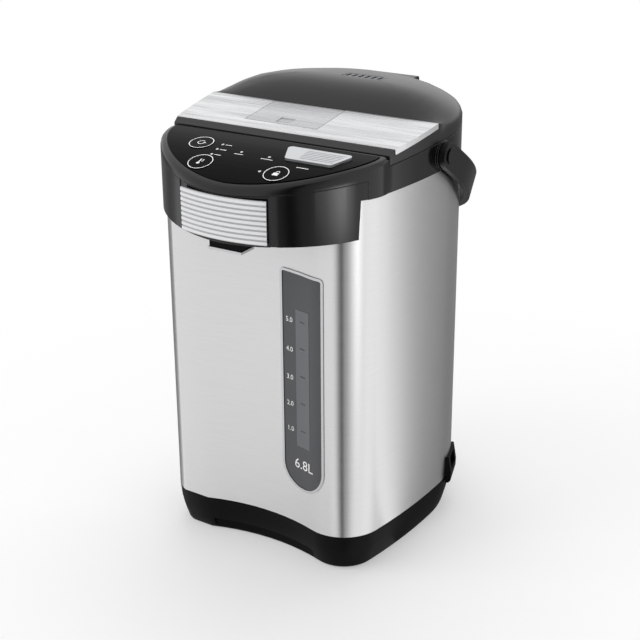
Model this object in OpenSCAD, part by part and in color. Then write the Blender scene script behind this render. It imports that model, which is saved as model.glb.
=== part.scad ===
// Electric thermo pot: a heated water pot with a pumped spout, a hinged lid and a carrying bail.
// Millimetres, +Z up, the front faces -Y. Every piece is drawn round the upright axis of the inner pot,
// and place() then moves the whole pot so that its box is centred on the origin.

/* [Body] */
// Half width of the pot, and the radius of its round back
body_r = 110; // [108:0.5:113]
// Radius of the gently bowed side walls
side_r = 551; // [450:1:700]
// Radius of the two front corners
corner_r = 36; // [33:0.5:39]
// Distance from the pot axis forward to the centres of the front corners
corner_y = 91.6; // [89:0.2:94]
// Distance from the pot axis forward to the middle of the dished front
front_y = 117; // [115:0.5:119]
// Height of the steel shell
shell_h = 297; // [285:1:310]
// Thickness of the steel shell
shell_t = 0.8; // [0.6:0.1:1.2]

/* [Base] */
// Height of the steel shell's lower edge above the table
base_h = 35.5; // [30:0.5:38]
// How far the base draws in from the shell to the table
base_inset = 7; // [5:0.5:9]
// Thickness of the base wall
base_t = 2.6; // [2:0.1:3.2]
// Height of the toe recess under the dished front
toe_h = 13; // [9:0.5:16]
// Depth of the toe recess
toe_d = 3; // [2:0.2:5]
// Half width of the toe recess
toe_w = 52; // [44:1:56]
// Height of the rubber feet
foot_h = 1.5; // [1:0.1:2.5]
// Radius of the rubber feet
foot_r = 8; // [6:0.5:10]

/* [Inner pot] */
// Inside radius of the water pot
pot_r = 95; // [90:0.5:98]
// Thickness of the pot's steel
pot_t = 1; // [0.8:0.1:1.2]
// Height of the pot's floor above the table
pot_floor = 62; // [60:0.5:66]
// Radius of the mouth that the lid closes
mouth_r = 80; // [76:0.5:81]

/* [Panel and hood] */
// Height of the control panel's rear edge above the steel shell
panel_rise = 29; // [28:0.5:31]
// Half width of the control panel
panel_w = 99.4; // [98.4:0.2:100.4]
// How far the control panel reaches forward of its rear edge
panel_d = 71.1; // [68:0.5:74]
// Roundness of the panel's outline across
panel_n = 1.8; // [1.7:0.05:2]
// Roundness of the panel's outline lengthways
panel_m = 1.65; // [1.55:0.05:1.8]
// Width of the rounded rim round the panel
panel_rim = 4; // [3:0.5:5]
// Distance below the shell's top edge that the hood reaches down
hood_drop = 31; // [27:0.5:34]
// Wall thickness of the moulded plastic covers
wall = 2.5; // [2:0.1:3]
// Travel of the small keys
key_travel = 0.8; // [0.5:0.1:1]
// Radius of the small keys
key_r = 10.5; // [9.5:0.1:11]
// Travel of the dispensing key
dispense_travel = 1.5; // [1:0.1:2]

/* [Front plate and spout] */
// Half width of the ribbed front plate
badge_w = 40.3; // [36:0.5:44]
// Height of the ribbed front plate
badge_h = 35.7; // [32:0.5:38]
// Number of ribs on the front plate
badge_ribs = 9; // [6:1:12]
// Radius that the front plate is curved to
badge_r = 129; // [115:1:150]
// Half width of the spout
spout_w = 15; // [12:0.5:18]
// Distance that the spout hangs below the hood
spout_drop = 11.5; // [9:0.5:16]
// Radius of the nozzle's bore
nozzle_r = 4; // [3:0.5:5]

/* [Water gauge] */
// Distance of the gauge to the right of the pot's middle
gauge_x = 44.8; // [43:0.1:47]
// Width of the gauge window
gauge_w = 46.6; // [42:0.2:48]
// Height of the window's round lower end above the table
gauge_low = 69; // [64:0.2:80]
// Height of the window's upper edge above the table
gauge_top = 267; // [250:0.5:270]
// Width of the clear strip
strip_w = 15.4; // [12:0.2:17]
// Outside radius of the glass riser tube
riser_r = 4.5; // [4:0.1:5]

/* [Lid] */
// Height of the lid's seam above the steel shell, at the pot axis
seam_rise = 25; // [24:0.5:26]
// Rise of the lid's seam towards the back, per mm
seam_slope = 0.0434; // [0.03:0.002:0.05]
// Height of the dome above the lid's rim
dome_h = 20; // [17:0.5:23]
// Thickness of the ribbed lid plate
plate_t = 4.5; // [4:0.1:5]
// Pitch of the ribs across the lid plate
rib_pitch = 3; // [2:0.1:5]
// Half width of the release flap
flap_w = 34.8; // [31:0.2:36]
// Angle that the lid opens to
lid_open = 80; // [60:1:90]
// Radius of the lid's hinge pin
hinge_pin_r = 2.5; // [2:0.1:3]

/* [Handle] */
// Width of the handle's flat strip
bail_w = 22; // [18:0.5:24]
// Thickness of the handle's strip
bail_t = 5.5; // [5:0.1:6.5]
// Angle that the stored handle hangs below level
bail_hang = 33; // [30:0.5:35]
// Length of the handle's straight arms
bail_arm = 26; // [25:0.5:32]
// Radius of the long curve between each arm and the grip
bail_side = 140; // [135:1:150]

/* [Hidden] */
$fn = 64;

// Clearances
screw_r = 1.5;
screw_head = 3.1;
gap = 0.3;            // between pieces that are fixed face to face over a curve
slip = 0.5;           // round a piece that moves
bore_fit = 0.04;      // radial play of a pin or screw in its hole
proud = 0.4;          // how far the collar and the lid stand out from the steel
far = 500;            // past every face

// Outline of the body: arcs that meet in a common tangent
side_a = asin(corner_y/(side_r - corner_r));
corner_x = sqrt(pow(side_r - corner_r, 2) - pow(corner_y, 2)) - (side_r - body_r);
dish_in = front_y - corner_y;
dish_r = (pow(corner_x, 2) + pow(dish_in, 2) - pow(corner_r, 2))/(2*(corner_r - dish_in));
dish_y = front_y + dish_r;
dish_a = atan2(dish_y - corner_y, corner_x);

function arc(c, r, a0, a1, n) = [for (i = [0:n - 1]) let (a = a0 + (a1 - a0)*i/n) c + r*[cos(a), sin(a)]];
function body_pts(d = 0) = concat(
    arc([0, 0], body_r - d, 0, 180, 48),
    arc([side_r - body_r, 0], side_r - d, 180, 180 + side_a, 6),
    arc([-corner_x, -corner_y], corner_r - d, 180 + side_a, 180 + dish_a, 12),
    arc([0, -dish_y], dish_r + d, 180 - dish_a, dish_a, 10),
    arc([corner_x, -corner_y], corner_r - d, dish_a - 180, -side_a, 12),
    arc([body_r - side_r, 0], side_r - d, -side_a, 0, 6));
// Half width of the body's outline at a place beside the bowed walls
function side_x(y, d = 0) = sqrt(pow(side_r - d, 2) - y*y) - (side_r - body_r);
function dish_front(x, d = 0) = -dish_y + sqrt(pow(dish_r + d, 2) - x*x);

// Levels
shell_top = base_h + shell_h;
web_z = base_h - 6;
web_t = 3;
function seam(y) = shell_top + seam_rise + seam_slope*y;
seam_gap = 0.6;

// Control panel: a D in plan, whose surface droops towards the front
panel_y = -93.6;
panel_back = -86.8;
panel_z = shell_top + panel_rise;
panel_pitch = 0.0804;
panel_droop = 0.00212;
function panel_s(y) = let (d = min(y - panel_y, 0))
    panel_z + panel_pitch*(y - panel_y) - panel_droop*d*d;
function panel_tilt(y) = atan(panel_pitch - 2*panel_droop*min(y - panel_y, 0));
panel_steps = 18;
function bow(t, p) = sign(t)*pow(abs(t), p);
// Right half of the D from its rear corner to its nose
function d_half(off, back) = concat([[panel_w + off, back]],
    [for (i = [0:panel_steps]) let (a = 90*i/panel_steps)
        [(panel_w + off)*bow(cos(a), 2/panel_n), panel_y - (panel_d + off)*bow(sin(a), 2/panel_m)]]);
function mirror_pts(p) = [for (i = [len(p) - 2:-1:0]) [-p[i][0], p[i][1]]];
function d_pts(off, back = panel_back) = concat(d_half(off, back), mirror_pts(d_half(off, back)));
bezel_rear = shell_top + 15;
bezel_front = shell_top + 4.6;
bezel_y0 = -110.5;
bezel_y1 = -169;
function bezel_low(y) = let (t = max(0, (y - bezel_y0)/(bezel_y1 - bezel_y0)))
    bezel_rear + (bezel_front - bezel_rear)*pow(t, 1.5);
overlay_t = 0.8;
overlay_in = 2;
deck_t = 2.4;

// Keys and lamps on the panel: across and lengthways
reboil_at = [-53, -116.9];
temperature_at = [-34.5, -144.3];
unlock_at = [36, -143.3];
dispense_at = [51.5, -112.2];
dispense_size = [58.6, 45, 21.4];      // rear width, front width, depth
lamps_at = [[-33.9, -114.2], [-33.4, -122.8], [-32.7, -131.4], [-10.8, -121.3], [16.1, -122], [21, -143.5]];
lamp_r = 1.2;
lamp_depth = 2.8;
cap_t = 3;
key_proud = 0.4;
dispense_proud = 1.8;
stem_r = 4;
board_t = 1.6;
board_y = [-147, -97];
switch_h = 3.2;
board_drop = 11.2;
function board_z(y) = panel_s(-120) - board_drop + tan(panel_tilt(-120))*(y + 120);

// Hood
hood_low = shell_top - hood_drop;
hood_t = 3.5;
hood_skirt = 4;        // how much lower the hood's front edge is than its rear one
hood_edge = [-116, -117.5];
badge_top = shell_top + 4;
badge_y = -171;
badge_t = 2;
reveal_w = 5;
return_x = 52;

// Spout
spout_low = hood_low - spout_drop;
spout_y = [-163, -147];
nozzle_y = -155;
nipple_top = shell_top - 12;
nipple_h = 9;
flange_t = 2;
flange_out = [5, 4];

// Gauge
gauge_c = gauge_low + gauge_w/2;
frame_t = 2.2;
strip_z = [110, 234];
strip_x = gauge_x + 0.3;
riser_back = 10.3;     // from the front of the steel to the middle of the tube
riser_at = [strip_x, dish_front(strip_x) + riser_back];
riser_top = shell_top - 14;
riser_wall = 1.3;
hose_wall = 1.9;
hose_bend = 10;
hose_grip = 6;
hose_top = shell_top - 1;

// Pump, under a nipple in the pot's floor
pump_at = [30, -70];
pump_low = web_z + web_t;
pump_h = 15.5;
pump_r = 20;
pump_out = riser_at[0] - pump_at[0];
pump_axis_z = pump_low + 8.5;
nipple_r = 5;
motor_r = 14;
motor_h = 24;
shaft_r = 1.5;

// Pot
rim_z = shell_top + 9.5;
flange_r = pot_r + 4;
pot_corner = 12;
deck_z = rim_z;
deck_h = 3;
ledge_t = 2;
lip_h = 5;
post_at = [for (a = [60, 150, 210, 330]) (pot_r - 11)*[cos(a), sin(a)]];
boss_at = [[body_r - 30, 40], [30 - body_r, 40], [0, body_r - 24], [-corner_x, 21.6 - corner_y],
    [corner_x, 25.6 - corner_y]];
foot_at = [[corner_x + 4.2, 5.6 - corner_y], [-corner_x - 4.2, 5.6 - corner_y], [body_r - 44, body_r - 54],
    [44 - body_r, body_r - 54]];

// Lid
plate_front = [-80.3, panel_z + 4.5];
plate_back = -18.5;
plate_a = atan(7.8/61.8);
function plate_z(y) = plate_front[1] + (y - plate_front[0])*tan(plate_a);
plate_under = plate_t/cos(plate_a);
lid_front = panel_back + slip + 0.1;
lid_t = 2.2;
rim_back_z = shell_top + 36.5;
rim_round = 5;
function rim_height(y) = let (z = plate_z(plate_back))
    z + (rim_back_z - z)*(y - plate_back)/(body_r - plate_back);
dome_c = [0, 38];
dome_p = 4.5;           // fullness of the crown towards the edge
dome_f = 3;             // and towards the plate
dome_rise = 45;
rim_share = 0.955;
liner_z = shell_top + 18.4;
liner_t = 2;
liner_in = 3.2;
liner_edge = 5;
liner_y = -78;
liner_edge_t = 1.8;
plug_r = mouth_r - 2;
plug_low = shell_top + 14.6;
lid_post_at = [[47, 48], [-47, 48], [66, 5], [-66, 5]];
vent_at = [14, 30];
vent_size = [37.4, 14.4];
vent_z = dome_over(vent_at);
vent_tilt = atan((dome_over(vent_at + [0, 6]) - dome_over(vent_at - [0, 6]))/12);
duct_r = 7;

// Lid hinge
hinge_at = [body_r + 7, shell_top + 26];
hinge_x = -9.5;
hinge_w = 27.5;
tongue_y = body_r - 18;
tongue_end = hinge_at[0] + 7;
tongue_z = [shell_top + 37.4, shell_top + 42.2];
hinge_rib_x = 14;
knuckle_r = 6;
lug_w = 7;

// Release flap, in the plate's own slope: u runs back along the plate, w stands up from it
flap_x = -11;
flap_u = [16, 61.6];
flap_axis = [38, -5.8];
flap_t = 2.5;
flap_pin_r = 1.5;
flap_swing = 14;
tray_y = [-70, -18.7];
tray_w = 38;
tray_low = liner_z + liner_t;
bolt_z = [shell_top + 21.9, shell_top + 24.5];
bolt_w = 9;
bolt_tip = -88.2;
bolt_end = -34;
finger_w = 4;
axis_y = plate_front[0] + flap_axis[0]*cos(plate_a) - flap_axis[1]*sin(plate_a);
axis_z = plate_front[1] + flap_axis[0]*sin(plate_a) + flap_axis[1]*cos(plate_a);

// Handle
pivot_at = [-9.4, shell_top + 13];
pivot_r = 4;
pivot_boss = 12;
boss_out = 1.5;
bail_in = body_r + proud + boss_out + slip;
bail_out = bail_in + bail_t;
bail_end = 11;
bail_turn = 50;
bail_back = bail_side - (bail_side - bail_out)/cos(bail_turn);
bail_grip = bail_arm + (bail_side - bail_out)*tan(bail_turn);
bail_reach = bail_grip + bail_back;

// Power inlet, low on the right-hand side
inlet_a = 18;
inlet_w = 16;
inlet_z = [28, 54.5];
inlet_out = 4;
socket_w = 10;
socket_z = [39, 51];
socket_x = [body_r - 18, body_r - 6];

// Whole pot: the hood's nose and the stored handle's grip set the box
front_reach = -badge_y;
back_reach = bail_reach*cos(bail_hang) + bail_w/2*sin(bail_hang) + pivot_at[0];
pot_shift = (front_reach - back_reach)/2;

module place() translate([0, pot_shift, 0]) children();
module prism(pts, z0, z1) translate([0, 0, z0]) linear_extrude(z1 - z0) polygon(pts);
module body_ring(out, in, z0, z1) difference() {
    prism(body_pts(out), z0, z1);
    prism(body_pts(in), z0 - 1, z1 + 1);
}
// A side view (y, z) carried across the pot between two distances
module across(pts, x0 = -far, x1 = far) translate([x0, 0, 0]) rotate([90, 0, 90]) linear_extrude(x1 - x0)
    polygon(pts);
// A front view (x, z) carried from y0 to y1
module facing(y0, y1) translate([0, y1, 0]) rotate([90, 0, 0]) linear_extrude(y1 - y0) children();
module rod(at, r, x0, x1) translate([x0, at[0], at[1]]) rotate([0, 90, 0]) cylinder(r = r, h = x1 - x0);
module post(at, r, z0, z1) translate([at[0], at[1], z0]) cylinder(r = r, h = z1 - z0);
module block(x, y, z) translate([x[0], y[0], z[0]]) cube([x[1] - x[0], y[1] - y[0], z[1] - z[0]]);

// Closed skin through rings of equal length, first to last, with a fan of faces at both ends
function middle(pts) = [for (k = [0:2]) let (c = [for (p = pts) p[k]]) c*[for (p = pts) 1]/len(pts)];
module skin(rings) {
    n = len(rings[0]);
    m = len(rings);
    polyhedron(
        concat([for (r = rings) for (p = r) p], [middle(rings[0]), middle(rings[m - 1])]),
        concat([for (i = [0:n - 1]) [i, (i + 1)%n, m*n]],
            [for (k = [0:m - 2]) for (i = [0:n - 1]) each let (a = k*n + i, b = k*n + (i + 1)%n)
                [[a, b + n, b], [a, a + n, b + n]]],
            [for (i = [0:n - 1]) [(m - 1)*n + (i + 1)%n, (m - 1)*n + i, m*n + 1]]));
}
function ring_at(pts, z) = [for (p = pts) [p[0], p[1], z]];

// ---- Shell and base ----

window_round = 4;
module window_2d(d = 0) {
    r = window_round - d;
    translate([gauge_x, gauge_c]) circle(gauge_w/2 - d);
    translate([gauge_x - gauge_w/2 + d, gauge_c]) square([gauge_w - 2*d, gauge_top - gauge_c - window_round]);
    translate([gauge_x - gauge_w/2 + window_round, gauge_c])
        square([gauge_w - 2*window_round, gauge_top - gauge_c - d]);
    for (s = [-1, 1]) translate([gauge_x + s*(gauge_w/2 - window_round), gauge_top - window_round]) circle(r);
}
module window_wall() facing(-front_y - 40, -front_y + 40) children();
module outer_shell() color("#c8c8c6") difference() {
    body_ring(0, shell_t, base_h, shell_top);
    window_wall() window_2d();
    // notch that lets the outlet hose through
    block([25, 49], [-front_y - 20, -front_y + 20], [hose_top - elbow_out - 1.5, shell_top + 1]);
    inlet_frame() block([body_r - 20, body_r + 9], [-socket_w - 3.3, socket_w + 3.3],
        [socket_z[0] - 2.3, socket_z[1] + 2.3]);
}

base_levels = [0, 0.06, 0.22, 0.42, 0.65, 1];
function base_in(t) = base_inset*pow(1 - t, 1.7) + (t == 0 ? 1.4 : 0);
module base_skin(d, z0, z1) skin([for (t = base_levels) ring_at(body_pts(base_in(t) + d),
    t == 0 ? z0 : t == 1 ? z1 : foot_h + (base_h - foot_h)*t)]);
module toe(d, h) intersection() {
    translate([0, -dish_y, -1]) cylinder(r = dish_r + toe_d + d + base_inset/2, h = h + 1, $fn = 160);
    block([-toe_w - d, toe_w + d], [-140, -90], [-1, h]);
}
module base_housing() color("#17181a") {
    difference() {
        base_skin(0, foot_h, base_h);
        difference() {
            base_skin(base_t, foot_h - 1, base_h + 1);
            toe(base_t, toe_h + base_t);
        }
        toe(0, toe_h);
    }
    difference() {
        prism(body_pts(base_t + 0.6), web_z, web_z + web_t);
        post([0, 0], pot_r - 27, web_z - 1, base_h);
        post(pump_at, motor_r + 0.6, web_z - 1, base_h);
        for (p = boss_at) post(p, screw_r + bore_fit, web_z - 1, base_h);
    }
    for (p = post_at) post(p, 5, web_z + web_t - 1, pot_floor - pot_t);
    inlet_frame() block([socket_x[0] - 4, body_r - 8], [2 - socket_w, socket_w - 2],
        [web_z + web_t - 1, socket_z[0] - 2]);
    for (p = boss_at) difference() {
        post(p, 4.6, foot_h + cover_t, web_z);
        post(p, screw_r + bore_fit, 0, base_h);
    }
}
cover_in = base_inset + base_t + 1.4 + 0.6;
cover_t = 3;
module bottom_cover() color("#1b1c1e") {
    difference() {
        prism(body_pts(cover_in), foot_h, foot_h + cover_t);
        toe(base_t + 0.6, toe_h);
        for (p = boss_at) post(p, screw_r + bore_fit, 0, 10);
        for (p = boss_at) post(p, screw_head + gap, 0, foot_h + 1.2);
        for (i = [-4:4]) block([i*9 - 2, i*9 + 2], [-22, 22], [0, 10]);
        post([pump_at[0], pump_at[1]], 9, 0, 10);
    }
    for (x = [-36, 36], y = [30, 76]) post([x, y], 3, foot_h + cover_t, 9.1);
}
module rubber_feet() color("#101010") for (p = foot_at) post(p, foot_r, 0, foot_h);
module cover_screws() color("#b8bcc0") for (p = boss_at) {
    post(p, screw_head, foot_h + 0.2, foot_h + 1.1);
    post(p, screw_r, foot_h + 1.1, web_z - 4);
}

// ---- Inner pot and heater ----

module inner_pot() color("#d6d7d8") difference() {
    union() {
        rotate_extrude($fn = 128) polygon(concat(
            [[0, pot_floor - pot_t]],
            arc([pot_r + pot_t - pot_corner, pot_floor - pot_t + pot_corner], pot_corner, -90, 0, 8),
            [[pot_r + pot_t, rim_z - pot_t], [flange_r, rim_z - pot_t], [flange_r, rim_z], [pot_r, rim_z]],
            arc([pot_r - pot_corner + pot_t, pot_floor + pot_corner - pot_t], pot_corner - pot_t, 0, -90, 8),
            [[0, pot_floor]]));
        post(pump_at, nipple_r, pot_floor - 9.5, pot_floor - 0.2);
    }
    post(pump_at, nipple_r - 1.4, pot_floor - 11, pot_floor + 2);
}
heat_r = 58;
module heater() color("#a9a49b") rotate_extrude($fn = 96) {
    translate([20, pot_floor - pot_t - 2.7]) square([heat_r - 20, 2.7]);
    translate([44, pot_floor - pot_t - 4.8]) circle(4);
    translate([33, pot_floor - pot_t - 4.8]) circle(4);
}
module thermostats() color("#8a8d90") for (p = [[9, 0], [-7, 8], [-6, -9]]) {
    post(p, 6.5, pot_floor - pot_t - 9, pot_floor - pot_t);
    translate([p[0] - 1, p[1] - 3, pot_floor - pot_t - 16]) cube([0.8, 6, 7]);
}

// ---- Water path ----

inlet_top = pot_floor - 10.8;
module pump_body() color("#e6e4dc") difference() {
    union() {
        post(pump_at, pump_r, pump_low, pump_low + pump_h);
        post(pump_at, nipple_r, pump_low + pump_h, inlet_top);
        translate([riser_at[0], pump_at[1], pump_axis_z]) rotate([90, 0, 0]) cylinder(r = riser_r, h = 31);
    }
    post(pump_at, pump_r - 2.5, pump_low + 2.2, pump_low + pump_h - 2.5);
    post(pump_at, nipple_r - 1.4, pump_low + 2, inlet_top + 1);
    post(pump_at, shaft_r + 0.6, pump_low - 1, pump_low + 4);
    translate([riser_at[0], pump_at[1], pump_axis_z]) rotate([90, 0, 0]) cylinder(r = riser_r - 1.5, h = 32);
}
blades = 6;
module pump_impeller() color("#f2f2ee") translate([pump_at[0], pump_at[1], 0]) {
    translate([0, 0, pump_low + 3.2]) cylinder(r = 15.5, h = 1.4);
    translate([0, 0, pump_low + 3.2]) cylinder(r = 3.4, h = 8);
    for (i = [0:blades - 1]) rotate([0, 0, i*360/blades]) translate([3, -0.7, pump_low + 4.6])
        cube([11.5, 1.4, 5.4]);
    translate([0, 0, pump_low - 8]) cylinder(r = shaft_r, h = 11.3);
}
module pump_motor() color("#7d8186") difference() {
    post(pump_at, motor_r, pump_low - motor_h, pump_low);
    post(pump_at, shaft_r + bore_fit, pump_low - 9, pump_low + 1);
}
module suction_hose() color("#e9e5da") difference() {
    post(pump_at, nipple_r + hose_wall, max(inlet_top - 3.9, pump_low + pump_h + gap),
        pot_floor - pot_t - 1.3);
    post(pump_at, nipple_r + bore_fit, 0, pot_floor + 1);
}
// A quarter bend from straight down at the origin to level along +X, a bend radius above it
module bend(r_out, r_in) translate([hose_bend, 0, 0]) rotate([90, 0, 180]) rotate_extrude(angle = 90)
    translate([hose_bend, 0]) difference() {
        circle(r_out);
        circle(r_in);
    }
module sleeve(r_out, r_in, h) difference() {
    cylinder(r = r_out, h = h);
    translate([0, 0, -1]) cylinder(r = r_in, h = h + 2);
}
elbow_in = riser_r + bore_fit;
elbow_out = riser_r + hose_wall;
module pump_elbow() color("#e9e5da") translate([riser_at[0], riser_at[1], pump_axis_z + hose_bend]) {
    mirror([0, 0, 1]) rotate([0, 0, 90]) bend(elbow_out, elbow_in);
    sleeve(elbow_out, elbow_in, 10);
    translate([0, hose_bend + 8, -hose_bend]) rotate([90, 0, 0]) sleeve(elbow_out, elbow_in, 8);
}
module riser_tube() color("#e8f2f4", 0.6) difference() {
    post(riser_at, riser_r, pump_axis_z + hose_bend + 0.3, riser_top);
    post(riser_at, riser_r - riser_wall, 0, riser_top + 1);
}
clip_z = [96, 240];
module riser_clips() color("#dcdad2") for (z = clip_z) difference() {
    union() {
        post(riser_at, riser_r + 2, z, z + 6);
        intersection() {
            block([riser_at[0] - 5, riser_at[0] + 5], [-front_y - 20, riser_at[1] - riser_r], [z, z + 6]);
            prism(body_pts(2.4), z - 1, z + 7);
        }
    }
    post(riser_at, riser_r + bore_fit, z - 1, z + 7);
}
run = [riser_at[0], riser_at[1] - nozzle_y];
run_l = norm(run);
run_a = atan2(-run[1], -run[0]);
module outlet_hose() color("#e9e5da") {
    translate([riser_at[0], riser_at[1], hose_top - hose_bend]) rotate([0, 0, run_a]) {
        bend(elbow_out, elbow_in);
        translate([hose_bend, 0, hose_bend]) rotate([0, 90, 0])
            sleeve(elbow_out, elbow_in, run_l - 2*hose_bend);
        translate([run_l, 0, 0]) rotate([0, 0, 180]) bend(elbow_out, elbow_in);
        for (e = [[run_l, nipple_top], [0, riser_top]])
            translate([e[0], 0, e[1] - hose_grip - hose_top + hose_bend])
                sleeve(elbow_out, elbow_in, hose_top - hose_bend - e[1] + hose_grip);
    }
}

// ---- Water gauge ----

module gauge_frame() color("#e2e3e4") intersection() {
    window_wall() difference() {
        window_2d(0.1);
        window_2d(0.1 + frame_t);
    }
    body_ring(-0.8, 2, base_h, shell_top);
}
module strip_2d(d = 0) translate([strip_x - strip_w/2 + d, strip_z[0] + d])
    square([strip_w - 2*d, strip_z[1] - strip_z[0] - 2*d]);
module gauge_panel() color("#2b2e31") intersection() {
    window_wall() difference() {
        window_2d(0.2 + frame_t);
        strip_2d();
    }
    body_ring(-0.1, 2.4, base_h, shell_top);
}
module gauge_lens() color("#8f979b", 0.6) intersection() {
    window_wall() strip_2d(0.1);
    body_ring(-0.2, 2, base_h, shell_top);
}

// ---- Collar, hood and panel ----

// The D-shaped head of the collar: a drooping top with a rounded rim, down to a level or to the bezel's seam
rim_turns = [0, 30, 60, 90];
function d_ring(off, back, lower, flat) = [for (p = d_pts(off, back))
    [p[0], p[1], flat > 0 ? flat : panel_s(p[1]) - lower]];
module d_block(inset, drop, low) {
    r = panel_rim;
    pairs = 2*panel_steps + 3;
    back = panel_back - inset;
    rings = concat([d_ring(r - inset, back, 0, low)],
        [for (a = rim_turns) d_ring(r - inset - r*(1 - cos(a)), back, drop + r*(1 - sin(a)), 0)]);
    m = len(rings);
    top = (m - 1)*pairs;
    polyhedron(
        [for (q = rings) for (p = q) p],
        concat([[for (i = [pairs - 1:-1:0]) i]],
            [for (k = [0:m - 2]) for (i = [0:pairs - 1])
                each let (a = k*pairs + i, b = k*pairs + (i + 1)%pairs)
                    [[a, b, b + pairs], [a, b + pairs, a + pairs]]],
            [for (i = [0:panel_steps - 1]) each let (j = pairs - 1 - i)
                [[top + i, top + i + 1, top + j - 1], [top + i, top + j - 1, top + j]]],
            [[top + panel_steps, top + panel_steps + 1, top + panel_steps + 2]]));
}
module key_frame(at) translate([at[0], at[1], panel_s(at[1])]) rotate([panel_tilt(at[1]), 0, 0]) children();
module key_holes(play) {
    for (at = [reboil_at, temperature_at, unlock_at]) key_frame(at) translate([0, 0, -8])
        cylinder(r = key_r + play, h = 12);
    key_frame(dispense_at) translate([0, 0, -8]) linear_extrude(12) dispense_2d(play);
    for (at = lamps_at) key_frame(at) translate([0, 0, -8]) cylinder(r = lamp_r + bore_fit, h = 12);
}
collar_top = [[panel_back - 2, shell_top], [body_r + 20, shell_top], [body_r + 20, seam(body_r + 20)],
    [panel_back - 2, seam(panel_back - 2)]];
cheek = [[bezel_y0 + gap, shell_top], [panel_back, shell_top], [panel_back, panel_z - 3],
    [bezel_y0 + gap, panel_z - 6]];
bezel_pts = concat([for (i = [0:8]) let (y = bezel_y0 + (bezel_y1 - 6 - bezel_y0)*i/8) [y, bezel_low(y)]],
    [[bezel_y1 - 6, panel_z + 10], [panel_back + 1, panel_z + 10], [panel_back + 1, bezel_rear],
        [bezel_y0, bezel_rear]]);
module collar() color("#1c1d1f") difference() {
    union() {
        // wall behind the panel
        intersection() {
            body_ring(-proud, wall, shell_top, shell_top + 34);
            across(collar_top);
        }
        // cheeks beside the panel
        intersection() {
            difference() {
                prism(d_pts(panel_rim), shell_top, shell_top + 30);
                prism(d_pts(panel_rim - wall, panel_back + 1), shell_top - 1, shell_top + 31);
            }
            across(cheek);
        }
        // bezel and panel deck
        intersection() {
            difference() {
                d_block(0, overlay_t, shell_top + 3);
                d_block(wall, overlay_t + deck_t, shell_top - 5);
            }
            across(bezel_pts);
        }
        // wall between the lid and the panel, and the ledge that the mouth ring rests on
        block([-panel_w - 2, panel_w + 2], [panel_back - wall, panel_back], [deck_z, bezel_rear + 4]);
        difference() {
            prism(body_pts(wall - 0.4), deck_z - ledge_t, deck_z);
            post([0, 0], flange_r + gap, deck_z - 10, deck_z + 1);
            block([-far, far], [-far, panel_back - wall], [0, far]);
        }
        // bosses that carry the handle
        for (s = [-1, 1]) intersection() {
            rod(pivot_at, pivot_boss, s > 0 ? body_r - wall : -body_r - proud - boss_out,
                s > 0 ? body_r + proud + boss_out : -body_r + wall);
            block([-far, far], [-40, 40], [0, seam(pivot_at[0] - pivot_boss)]);
        }
        // lugs that carry the lid's hinge pin
        difference() {
            for (s = [-1, 1]) {
                x0 = hinge_x + (s > 0 ? hinge_w + slip : -hinge_w - slip - lug_w);
                rod(hinge_at, knuckle_r, x0, x0 + lug_w);
                block([x0, x0 + lug_w], [body_r - 15, hinge_at[0]],
                    [hinge_at[1] - knuckle_r, hinge_at[1] + 2.4]);
            }
            prism(body_pts(wall - 0.5), 0, far);
        }
        // posts that the control board hangs from
        for (p = [[62, -128], [-62, -128], [0, -145], [0, -100]])
            translate([p[0], p[1], board_z(p[1])]) rotate([panel_tilt(-120), 0, 0])
                cylinder(r = 2.6, h = panel_s(p[1]) - overlay_t - 1 - board_z(p[1]));
    }
    key_holes(slip);
    for (s = [-1, 1]) rod(pivot_at, pivot_r + bore_fit, s*body_r - 8, s*body_r + 8);
    rod(hinge_at, hinge_pin_r + bore_fit, -far, far);
    block([flap_x - bolt_w - 0.4, flap_x + bolt_w + 0.4], [panel_back - wall - 1, panel_back + 1],
        [bolt_z[0] - 0.4, bolt_z[1] + 0.4]);
}
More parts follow.
